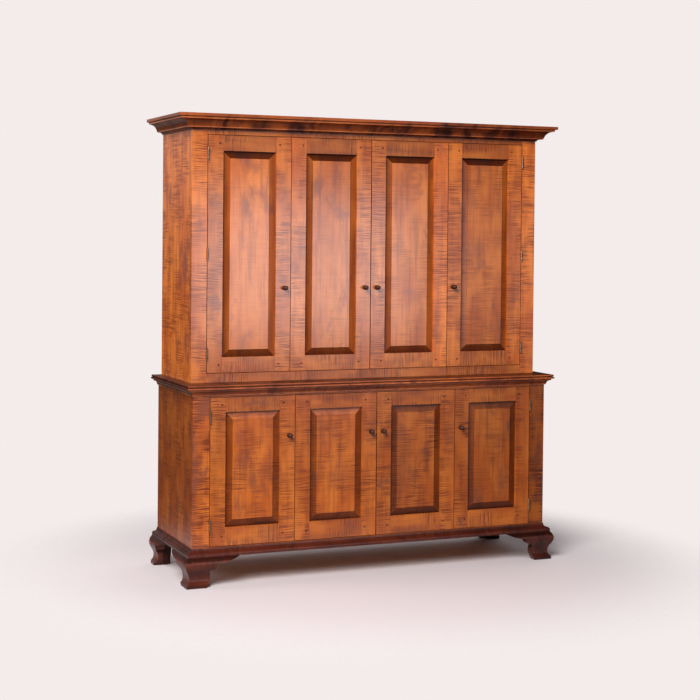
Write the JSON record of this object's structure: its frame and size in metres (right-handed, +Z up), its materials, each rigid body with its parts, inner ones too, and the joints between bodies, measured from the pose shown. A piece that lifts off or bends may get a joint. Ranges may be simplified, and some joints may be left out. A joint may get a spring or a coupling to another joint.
{
  "type": "media cabinet",
  "caption": "Two-part wooden media cabinet with folding pairs of raised-panel doors, moulded cornice and waist, and ogee bracket feet, for closing away equipment.",
  "frame": {"origin": "middle of the floor print, under the middle of the whole outline", "axes": "+Z up, front of the cabinet towards -Y, +X to the right seen from the front"},
  "size_m": [1.848, 0.576, 2.032],
  "materials": {
    "curly_maple": "satin varnish over amber stain",
    "dark_maple": "satin varnish over dark red-brown stain",
    "inside_boards": "thin oil",
    "knob_wood": "polished dark turned wood",
    "hinge_brass": "dulled",
    "catch_housing": "matte"
  },
  "bodies": {
    "case": {"base_back_boards": "inside_boards", "base_bottom_board": "inside_boards", "base_divider": "inside_boards", "base_face_frame": "curly_maple", "base_left_side": "curly_maple", "base_moulding": "dark_maple", "base_right_side": "curly_maple", "base_shelves": "inside_boards", "case_hinge_leaves": "hinge_brass", "case_hinge_pins": "hinge_brass", "cornice_moulding": "dark_maple", "door_catches": "catch_housing", "front_left_foot": "dark_maple", "front_right_foot": "dark_maple", "rear_left_foot": "dark_maple", "rear_right_foot": "dark_maple", "shelf_cleats": "inside_boards", "upper_back_boards": "inside_boards", "upper_bottom_board": "inside_boards", "upper_face_frame": "curly_maple", "upper_left_side": "curly_maple", "upper_right_side": "curly_maple", "upper_shelf": "inside_boards", "upper_top_board": "inside_boards", "waist_board": "dark_maple", "waist_moulding": "dark_maple"},
    "lower_left_inner_door": {"lower_left_inner_frame": "curly_maple", "lower_left_inner_hardware": "hinge_brass", "lower_left_inner_knob": "knob_wood", "lower_left_inner_panel": "curly_maple"},
    "lower_left_outer_door": {"lower_left_outer_frame": "curly_maple", "lower_left_outer_hardware": "hinge_brass", "lower_left_outer_knob": "knob_wood", "lower_left_outer_panel": "curly_maple"},
    "lower_right_inner_door": {"lower_right_inner_frame": "curly_maple", "lower_right_inner_hardware": "hinge_brass", "lower_right_inner_knob": "knob_wood", "lower_right_inner_panel": "curly_maple"},
    "lower_right_outer_door": {"lower_right_outer_frame": "curly_maple", "lower_right_outer_hardware": "hinge_brass", "lower_right_outer_knob": "knob_wood", "lower_right_outer_panel": "curly_maple"},
    "upper_left_inner_door": {"upper_left_inner_frame": "curly_maple", "upper_left_inner_hardware": "hinge_brass", "upper_left_inner_knob": "knob_wood", "upper_left_inner_panel": "curly_maple"},
    "upper_left_outer_door": {"upper_left_outer_frame": "curly_maple", "upper_left_outer_hardware": "hinge_brass", "upper_left_outer_knob": "knob_wood", "upper_left_outer_panel": "curly_maple"},
    "upper_right_inner_door": {"upper_right_inner_frame": "curly_maple", "upper_right_inner_hardware": "hinge_brass", "upper_right_inner_knob": "knob_wood", "upper_right_inner_panel": "curly_maple"},
    "upper_right_outer_door": {"upper_right_outer_frame": "curly_maple", "upper_right_outer_hardware": "hinge_brass", "upper_right_outer_knob": "knob_wood", "upper_right_outer_panel": "curly_maple"}
  },
  "joints": [
    {"name": "upper_left_door_swing", "type": "hinge", "parent": "case", "child": "upper_left_outer_door", "pos_m": [-0.775, -0.17, 0], "axis": [0, 0, -1], "range_deg": [0, 180]},
    {"name": "upper_left_door_fold", "type": "hinge", "parent": "upper_left_outer_door", "child": "upper_left_inner_door", "pos_m": [-0.38775, -0.138, 0], "axis": [0, 0, 1], "range_deg": [0, 180]},
    {"name": "upper_right_door_swing", "type": "hinge", "parent": "case", "child": "upper_right_outer_door", "pos_m": [0.775, -0.17, 0], "axis": [0, 0, 1], "range_deg": [0, 180]},
    {"name": "upper_right_door_fold", "type": "hinge", "parent": "upper_right_outer_door", "child": "upper_right_inner_door", "pos_m": [0.38775, -0.138, 0], "axis": [0, 0, -1], "range_deg": [0, 180]},
    {"name": "lower_left_door_swing", "type": "hinge", "parent": "case", "child": "lower_left_outer_door", "pos_m": [-0.783, -0.253, 0], "axis": [0, 0, -1], "range_deg": [0, 180]},
    {"name": "lower_left_door_fold", "type": "hinge", "parent": "lower_left_outer_door", "child": "lower_left_inner_door", "pos_m": [-0.39175, -0.221, 0], "axis": [0, 0, 1], "range_deg": [0, 180]},
    {"name": "lower_right_door_swing", "type": "hinge", "parent": "case", "child": "lower_right_outer_door", "pos_m": [0.783, -0.253, 0], "axis": [0, 0, 1], "range_deg": [0, 180]},
    {"name": "lower_right_door_fold", "type": "hinge", "parent": "lower_right_outer_door", "child": "lower_right_inner_door", "pos_m": [0.39175, -0.221, 0], "axis": [0, 0, -1], "range_deg": [0, 180]}
  ],
  "couplings": [
    {"joint": "upper_left_door_fold", "follows": "upper_left_door_swing", "ratio": 1},
    {"joint": "upper_right_door_fold", "follows": "upper_right_door_swing", "ratio": 1},
    {"joint": "lower_left_door_fold", "follows": "lower_left_door_swing", "ratio": 1},
    {"joint": "lower_right_door_fold", "follows": "lower_right_door_swing", "ratio": 1}
  ]
}
